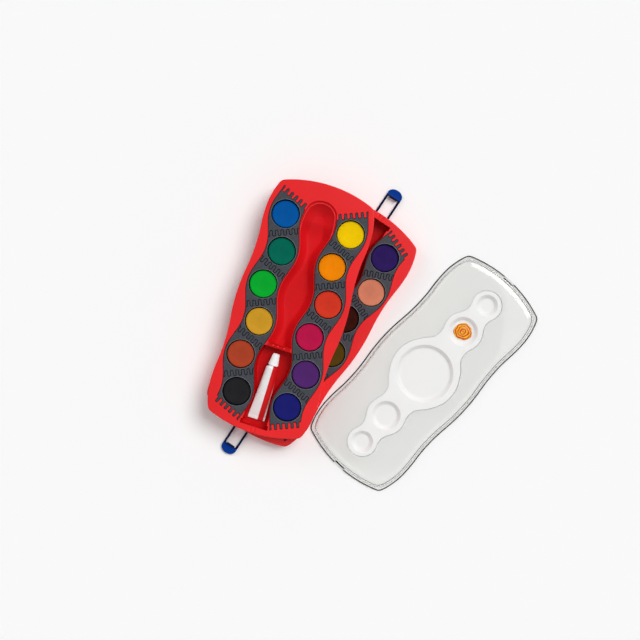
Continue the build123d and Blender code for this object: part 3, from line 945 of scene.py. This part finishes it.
def block(shell, xs, ys, zs, edge=0.4):
    """A closed block with its edges eased."""
    x0, x1 = xs
    y0, y1 = ys
    z0, z1 = zs
    loop = [(x1 - edge, y0), (x1, y0 + edge), (x1, y1 - edge), (x1 - edge, y1)]
    loop += [(x0 + edge, y1), (x0, y1 - edge), (x0, y0 + edge), (x0 + edge, y0)]
    shell.solid(shell.rings(loop, ((edge, z0), (0, z0 + edge), (0, z1 - edge), (edge, z1))))


def dot(shell, x, y, z, radius=1.25, height=0.85, rings=5):
    """A small domed rise."""
    angles = [math.pi / 2 * k / rings for k in range(rings)]
    profile = [(radius * math.cos(t), z + height * math.sin(t) - 0.05) for t in angles]
    shell.solid(shell.circles((x, y), profile, 20))


def make_tray(body, place):
    trough_shaded_red, bay_shaded_red, pocket_shaded_red, ridge_highlight_red = 1, 2, 3, 4
    shell = Shell()
    deck_edge = outline_loop(0, CORNER_RADIUS)
    edge = round_over(0.9, DECK, 4)
    edge += [(0, 0.4), (0.3, 0), (SKIRT - 0.3, 0), (SKIRT, 0.3), (SKIRT, DECK - DECK_WALL)]
    rings = [shell.deck_ring(inset_loop(deck_edge, inset), z) for inset, z in edge]
    shell.bands(rings)

    # The cup pockets drop steeply, in the dark pocket red as painted shade.
    pocket = clean_loop(ribbon_loop(0, ROWS, 0))
    steep = round_over(0.18, DECK, outwards=-1) + [(0.0, FLOOR)]
    holes = [recess(shell, loop, steep, pocket_shaded_red) for loop in (pocket, mirrored(pocket))]

    # The trough is a long bowl in a darker red, a painted shade; its head has a lip that dips before a fine
    # ridge, painted lighter as a highlight
    trough = trough_loop()
    lip = np.clip((np.array(trough)[:, 1] - LIP_FROM) / LIP_GROWS, 0, 1)
    lip = lip * lip * (3 - 2 * lip)
    sides = [(-0.1, 15), (-0.06, 14.97), (0, 14.85), (0.04, 14.6), (0.08, 14.35), (0.14, 14.1), (0.2, 13.8)]
    sides += [(0.7, 12.2), (1.7, 10.0), (2.9, 7.9), (4.2, 6.0), (5.6, 4.3), (7.0, 2.9), (8.6, 1.9)]
    head = [(-0.95, 15), (-0.72, 14.88), (-0.45, 14.3), (-0.1, 13.55), (0.7, 13.2), (1.4, 13.75)]
    head += [(1.75, 14), (2.1, 13.7), (3, 12.8), (4.6, 11.4), (6.6, 9.9), (9, 8.3), (11.5, 6.9), (14.2, 5.8)]
    bowl = [(i + (j - i) * lip, z + (w - z) * lip) for (i, z), (j, w) in zip(sides, head)]
    groups = [trough_shaded_red] * 5 + [ridge_highlight_red] * 2 + [trough_shaded_red] * 7
    holes.append(recess(shell, trough, bowl, groups, slide_in_trough))

    # The tube bay's walls and floor are in the darker bay red, a painted shade.
    bay = round_over(0.1, DECK, outwards=-1)
    bay += [(0.15, 10.0), (0.35, 6.5), (0.7, 4.2), (1.3, 2.8), (2.1, 1.95), (3.1, FLOOR)]
    holes.append(recess(shell, bay_loop(), bay, bay_shaded_red, slide_in_bay))

    # The cross wall's top takes the bay's darker red, a painted shade
    deck_faces = len(shell.faces)
    shell.plan(rings[0], holes)
    for k in range(deck_faces, len(shell.faces)):
        corners = [shell.vertices[i] for i in shell.faces[k]]
        if all(abs(y - CROSS_MIDDLE) < CROSS_REACH and z < DECK - 1 for _, y, z in corners):
            shell.groups[k] = bay_shaded_red

    # Underneath: the hollow round the solid middle, and the base that stands on the table
    under = base_loop()
    inner_top = shell.ring(under, DECK - DECK_WALL)
    inner_foot = shell.ring(under, 0.0)
    shell.band(inner_foot, inner_top)
    shell.plan(rings[-1], [inner_top], up=False)
    shell.plan(inner_foot, up=False)
    name = f"{body}_tray"
    reds = [RED, TROUGH_SHADED_RED, BAY_SHADED_RED, POCKET_SHADED_RED, RIDGE_HIGHLIGHT_RED]
    piece = shell.build(f"{name}_shell", place, reds, even=False)

    # At both ends: two slots cut through the end wall, and a bearing block
    cut, bits = Shell(), Shell()
    for end in (1, -1):
        for way in (1, -1):
            slot = sorted(way * x for x in END_SLOT)
            block(cut, slot, sorted(end * y for y in END_WALL), (-1.0, 7.8), 0.1)
        block(bits, (-BEARING_HALF, BEARING_HALF), sorted(end * y for y in BEARING), BEARING_HEIGHTS)
    for x in DOTS:
        dot(bits, x, CROSS_MIDDLE, DECK - CROSS_DROP)
    carve(piece, cut.build("slot_cutter", place, []))
    join(piece, bits.build("bits", place, [RED]))
    add_piece(piece, body, name)


# Cups
def make_cups(body, place):
    for way in (-1, 1):
        for row, name in enumerate(PAINTS[body, way]):
            loop = clean_loop(ribbon_loop(row, row + 1, COMB_GAP), 0.2)
            if way < 0:
                loop = mirrored(loop)
            sway = RIBBON_SWAY if row % 2 == 0 else -RIBBON_SWAY
            centre = (way * (RIBBON_MIDDLE + sway), FIRST_ROW - row * PITCH)
            make_cup(body, place, name, loop, centre)
            make_tablet(body, place, name, centre)


def make_cup(body, place, name, loop, centre):
    shell = Shell()
    plate = shell.rings(loop, round_over(0.3, CUP_TOP)) + [shell.ring(loop, CUP_TOP - CUP_PLATE)]
    shell.bands(plate)

    # The well's rim stands a hair proud, then rounds down to the cup's floor; its top is painted lighter as
    # a highlight and its upper wall near black as shade
    profile = [(0.75, CUP_TOP), (0.62, CUP_TOP + 0.14), (0.42, CUP_TOP + 0.18), (0.25, CUP_TOP)]
    profile += [(-0.35, TABLET_TOP - 0.2), (-0.4, 4.0), (-0.9, 2.9), (-1.6, 2.8)]
    well = shell.circles(centre, [(WELL_RADIUS + out, z) for out, z in profile])
    shell.bands(well, [1, 1, 1, 2, 2, 0, 0], flip=True)
    shell.plan(well[-1])
    shell.plan(plate[0], [well[0]])

    tub = [(TUB_RADIUS, CUP_TOP - CUP_PLATE), (TUB_RADIUS, TUB_FOOT), (TUB_RADIUS - 0.6, FLOOR)]
    tub = shell.circles(centre, tub)
    shell.bands(tub)
    shell.plan(tub[-1], up=False)
    shell.plan(plate[-1], [tub[0]], up=False)
    node = f"{body}_cup_{name}"
    add_piece(shell.build(f"{node}_moulding", place, [GREY, WELL_RIM_HIGHLIGHT, WELL_WALL_SHADE]), body, node)


def make_tablet(body, place, name, centre):
    """A pressed cake: rounded rim, shallow dish in the middle."""
    shell = Shell()
    dish = [(14.05, 0.9), (13.95, 0.35), (13.6, 0.08), (13, 0)]
    dish += [(11.5, 0.1), (9, 0.32), (6, 0.5), (3, 0.6), (1, 0.63)]
    profile = [(13.1, 2.8), (14.0, 3.2)] + [(radius, TABLET_TOP - depth) for radius, depth in dish]
    shell.solid(shell.circles((0, 0), profile, 64))
    piece = shell.build(f"{body}_tablet_{name}", Matrix(), [PAINT[name]], even=False)
    piece.matrix_world = place @ shifted(*centre, 0)
    add_piece(piece, body, f"{body}_paint_{name}")


# Bails
def make_bail(name, place, body):
    shell = Shell()
    straight = PAD_LENGTH / 3
    end = []
    for t in spaced(0, math.pi, PAD_STEPS):
        y = PAD_START + straight + (PAD_LENGTH - straight) * math.sin(t)
        end.append((BAIL_HALF * math.cos(t), y))
    leg = [(BAIL_HALF, KNEE), (BAIL_HALF, LEG_MIDDLE), (BAIL_HALF, PAD_START)]
    eye = [(-EYE_HALF, KNEE), (-EYE_HALF, PAD_START), (EYE_HALF, PAD_START), (EYE_HALF, KNEE)]
    loop = clean_loop(leg + end + mirrored(leg) + fillet_line(eye, 0.8, 4))
    profile = [(0.45, 0), (0.12, 0.12), (0, 0.45)]
    profile += [(0, BAIL_THICK - 0.5), (0.15, BAIL_THICK - 0.15), (0.5, BAIL_THICK)]
    shell.solid(shell.rings(loop, profile), convex=False)

    # Each leg's crank and its pivot pin, then the upright tongue before the pad
    for way in (1, -1):
        leg_across = sorted((way * EYE_HALF, way * BAIL_HALF))
        block(shell, leg_across, (KNEE, KNEE + CRANK_LENGTH), (0.2, 7.5), 0.45)
        pin(shell, way)
    block(shell, (-TONGUE_HALF, TONGUE_HALF), (PAD_START - 1.2, PAD_START + 0.1), (0.1, 5.5), 0.35)

    # The thumb pad: a raised oval in brighter blue, part of which is a painted highlight
    pad = clean_loop([(-BAIL_HALF, PAD_START + 0.3), (BAIL_HALF, PAD_START + 0.3)] + end)
    rises = ((0.1, 0), (0.3, 0.25), (0.8, 0.3), (1.4, 0.14), (2.3, 0.08))
    profile = [(0.1, 1.2)] + [(inset, BAIL_THICK + rise) for inset, rise in rises]
    shell.solid(shell.rings(pad, profile), 1, convex=False)
    add_piece(shell.build(f"{name}_bar", place, [NAVY, BLUE_PAD_HIGHLIGHT]), body, name)


def pin(shell, way, count=20):
    """A round pivot pin along X, with its tip eased, on the leg of one side."""
    rings = []
    tip = [(PIN_TIP, PIVOT_RADIUS - PIN_EASE), (PIN_TIP + PIN_EASE, PIVOT_RADIUS)]
    for x, radius in tip + [(EYE_HALF + PIN_ROOT, PIVOT_RADIUS)]:
        rings.append(shell.add((way * x, y, z) for y, z in circle(PIVOT_PLACE, radius, count)))
    shell.solid(rings)


# Lid
def make_lid():
    shell = Shell()
    clear, milky, edge_shade_group, step = range(4)
    outer = outline_loop(0, CORNER_RADIUS)
    dome = outline_loop(FLANGE, DOME_CORNER)
    ends = np.abs(np.array(outer))
    at_notch = (ends[:, 0] < NOTCH_HALF) & (ends[:, 1] > NOTCH_FROM)

    def notched(inset):
        """The flange's upper half, drawn in further at the two end notches."""
        p = inset_loop(outer, inset)
        p[at_notch, 1] -= np.sign(p[at_notch, 1]) * NOTCH_DEPTH
        return p

    flange = [shell.ring(outer, z) for z in (0.0, FLANGE_STEP)]
    upper = ((0, FLANGE_STEP), (0, 1.25), (0.15, 1.42), (1.2, FLANGE_TOP))
    flange += [shell.ring(notched(inset), z) for inset, z in upper]
    # The flange's outer wall and upper edge are in the dark edge plastic, a painted shade.
    shell.bands(flange, [edge_shade_group, clear, edge_shade_group, edge_shade_group, edge_shade_group])

    def skin(inset):
        """The dome's wall and its shoulder, to the edge of the flat top, drawn in all round."""
        profile = [(0, FLANGE_TOP), (0, SHOULDER_FROM)]
        for t in spaced(0, math.pi / 2, SHOULDER_STEPS)[1:]:
            rise = (LID_TOP - SHOULDER_FROM) * math.sin(t) ** 0.9
            profile.append((SHOULDER_WIDTH * (1 - math.cos(t)) ** 1.15, SHOULDER_FROM + rise))
        return shell.rings(dome, [(inset + i, z - inset) for i, z in profile])

    top = skin(0)
    shell.plan(flange[-1], [top[0]])
    shell.bands(top)
    under = skin(LID_WALL)
    foot = shell.ring(inset_loop(dome, LID_WALL), 0.0)
    shell.bands([foot] + under, flip=True)
    shell.plan(flange[0], [foot], up=False)

    # The island is pressed in, with five bowls; its underside follows a wall's thickness below
    edge = ((-0.2, 0), (-0.05, 0.08), (0.05, 0.4), (0.2, 1.0))
    bowl = (
        (0.35, 8.0), (0.05, 7.9), (-0.25, 7.6), (-0.7, 7.1), (-1.0, 6.95), (-1.5, 6.85), (-1.9, 6.4),
        (-2.6, 5.6), (-3.6, 5.15), (-5.0, 5.0),
    )
    for rim, grow, drop, up in ((top[-1], 0, 0, True), (under[-1], WELL_GROW, LID_WALL, False)):
        rings = shell.rings(island_loop(), [(i - grow, LID_TOP - drop - z) for i, z in edge])
        shell.plan(rim, [rings[0]], clear, up=up)
        # On top, the island's step ring is in the grey step plastic, a painted shade.
        shell.bands(rings, step if up else clear, flip=up)
        mouths = []
        for y, radius in WELLS:
            profile = [(radius + r + grow, z - drop) for r, z in bowl]
            well = shell.circles((0, y), profile, 96 if radius > 20 else 64)
            shell.bands(well, milky)
            shell.plan(well[-1], (), milky, up=up)
            mouths.append(well[0])
        shell.plan(rings[-1], mouths, milky, up=up)
    piece = shell.build("mixing_lid", LID_PLACE, [CLEAR, MILKY, EDGE_SHADE, STEP_SHADE], smooth_angle=40)
    add_piece(piece, "cover", "lid")


def make_puddle():
    """Wet paint swirled in one of the lid's bowls."""
    shell = Shell()
    count, steps = 64, 15
    rings = []
    for k in range(steps):
        share = 1 - k / steps
        points = []
        heights = []
        for t in spaced(0, 2 * math.pi, count)[:-1]:
            wobble = 0.05 * math.sin(2 * t + 0.6) + 0.04 * math.sin(3 * t + 2.0) + 0.02 * math.sin(7 * t)
            r = 9.4 * share * (1 + wobble)
            points.append((r * math.cos(t), r * math.sin(t)))
            swirl = math.sin(share * 17 - t) * share * (1 - share)
            heights.append(5.05 + 0.75 * math.sqrt(1 - share**2) + 0.64 * swirl)
        rings.append(shell.ring(points, heights))
    base = shell.ring([shell.vertices[i][:2] for i in rings[0]], 5.02)
    shell.solid([base] + rings)
    piece = shell.build("wet_paint", Matrix(), [WET], even=False)
    piece.matrix_world = LID_PLACE @ shifted(0.2, 60.5, 0)
    add_piece(piece, "cover")


# Tube
def tube_tilt():
    """From the tube's own frame, +Z towards the cap, to the tray's."""
    tilt = math.atan2(TUBE_RADIUS - CRIMP_THICK, TUBE_LENGTH + CRIMP_LENGTH)
    height = FLOOR + TUBE_LIFT + TUBE_RADIUS / math.cos(tilt)
    return shifted(0, TUBE_PLACE, height) @ Matrix.Rotation(tilt - math.pi / 2, 4, "X")


def section(shell, z, width, thick, squareness, ridge=0.0):
    """A rounded or squared section across the tube, with ridges along its flat sides."""
    points = []
    for k in range(TUBE_SIDES):
        t = 2 * math.pi * (k + 0.5) / TUBE_SIDES
        c, s = math.cos(t), math.sin(t)
        x = width * math.copysign(abs(c) ** squareness, c)
        wave_height = ridge * (0.5 + 0.5 * math.cos(x * 2 * math.pi / RIDGE_PITCH))
        y = math.copysign(thick * abs(s) ** squareness + wave_height, s)
        points.append((x, y))
    return shell.ring(points, z)


def make_tube():
    """Flat ribbed crimp, a pressed line, then the body swelling to its round shoulder and neck."""
    shell = Shell()
    rings = []
    for z, thick, ridge in (
        (-56.8, 0.45, 0), (-56.7, 0.62, 0), (-56.5, 0.64, 0.14), (-55, 0.64, 0.14), (-53.4, 0.64, 0.14),
        (-53.1, 0.6, 0), (-52.6, 0.6, 0), (-52.3, CRIMP_THICK, 0),
    ):
        rings.append(section(shell, z, CRIMP_HALF, thick, CRIMP_SQUARENESS, ridge))
    for k in range(1, BODY_STEPS):
        t = k / BODY_STEPS
        width = CRIMP_HALF + (TUBE_RADIUS - CRIMP_HALF) * t
        thick = CRIMP_THICK + (TUBE_RADIUS - CRIMP_THICK) * t
        squareness = 1 - (1 - CRIMP_SQUARENESS) * (1 - t**0.85) ** 2
        rings.append(section(shell, TUBE_LENGTH * (t - 1), width, thick, squareness))
    for z, r in ((0, TUBE_RADIUS), (0.35, 6.25), (0.6, 5.9), (1.7, 4.6), (2.9, 3.1), (3, 2.6), (9.5, 2.6)):
        rings.append(section(shell, z, r, r, 1.0))
    shell.solid(rings)
    piece = shell.build("white_tube", tube_tilt(), [TUBE_SKIN], smooth_angle=50)
    piece.matrix_world = UPPER_PLACE
    add_piece(piece, "tube", "tube_body")


def make_cap():
    """A flared foot, a ribbed cone and a dished top round the neck's bore."""
    shell = Shell()
    outside = []
    for z, radius, depth in (
        (CAP_FOOT, 4.95, 0), (3.2, 5.2, 0), (3.5, 5.3, 0), (4, 5.25, 0), (4.3, 5.1, 0.16), (5, 5.02, 0.2),
        (9.5, 4.38, 0.2), (14.2, 3.7, 0.2), (14.7, 3.6, 0.1), (15.1, 3.5, 0), (15.4, 3.3, 0),
        (15.56, 2.9, 0), (15.56, 2.2, 0), (15.35, 2, 0),
    ):
        points = []
        for t in spaced(0, 2 * math.pi, CAP_SIDES)[:-1]:
            r = radius - depth * (0.5 + 0.5 * math.cos(CAP_RIBS * t)) ** 0.7
            points.append((r * math.cos(t), r * math.sin(t)))
        outside.append(shell.ring(points, z))
    bore = shell.circles((0, 0), ((CAP_BORE, BORE_TOP), (CAP_BORE, CAP_FOOT)), CAP_SIDES)
    shell.solid(bore + outside)
    piece = shell.build("screw_cap", UPPER_PLACE @ tube_tilt(), [WHITE], smooth_angle=30)
    add_piece(piece, "cap", "tube_cap")


make_tray("lower", LOWER_PLACE)
make_tray("upper", UPPER_PLACE)
make_cups("lower", LOWER_PLACE)
make_cups("upper", UPPER_PLACE)
make_bail("far_bail", Matrix(), "far_clasp")
make_bail("near_bail", LOWER_PLACE, "near_clasp")
make_lid()
make_puddle()
make_tube()
make_cap()

# Floor
corners = [(x * FLOOR_HALF, y * FLOOR_HALF, -FLOOR_DROP) for x, y in ((-1, -1), (1, -1), (1, 1), (-1, 1))]
floor_mesh = bpy.data.meshes.new("floor")
floor_mesh.from_pydata(corners, [], [(0, 1, 2, 3)])
floor_paper = Shader("floor_paper", (252, 252, 252), 0.9, Specular_IOR_Level=0.1)
floor_paper.glow(0.03)
floor_mesh.materials.append(floor_paper.material)
show("floor", floor_mesh)


# Light
def facing(direction):
    return Vector(direction).to_track_quat("Z", "Y").to_euler()


def lamp(name, direction, strength, softness, shines=True):
    """A far soft lamp shining from a direction on the whole scene alike."""
    data = bpy.data.lights.new(name, "SUN")
    data.energy = strength
    data.angle = math.radians(softness)
    light = show(name, data)
    light.rotation_euler = facing(direction)
    light.visible_glossy = shines


def strip(name, x, y):
    """A wide soft box beside the set that only shows as a reflection in glossy plastic."""
    data = bpy.data.lights.new(name, "AREA")
    data.shape = "RECTANGLE"
    data.size, data.size_y = STRIP_SIZE
    data.energy = STRIP_POWER
    light = show(name, data)
    offset = Vector((x, y, STRIP_HEIGHT))
    light.location = STRIP_TARGET + offset
    light.rotation_euler = facing(offset)
    light.visible_diffuse = False


# The key comes from the frame's upper right. The low lamp comes from its upper left and leaves the
# lower tray in the upper one's shade.
lamp("key", (0.3, 0.95, 1.3), 2.08, 36)
lamp("low", (-0.95, 0.05, 0.6), 0.45, 30, shines=False)
strip("right_strip", 0.353, 0.233)
strip("near_strip", 0.233, -0.353)
world = bpy.data.worlds.new("studio")
bpy.context.scene.world = world
world.use_nodes = True
background = world.node_tree.nodes["Background"]
background.inputs["Color"].default_value = (1, 1, 1, 1)
levels = {"Value": seen_directly(world.node_tree), "To Min": WORLD_LIGHT, "To Max": WORLD_SHOWN}
strength = add_node(world.node_tree, "ShaderNodeMapRange", levels)
world.node_tree.links.new(strength.outputs["Result"], background.inputs["Strength"])
bpy.context.scene.view_settings.view_transform = "Standard"
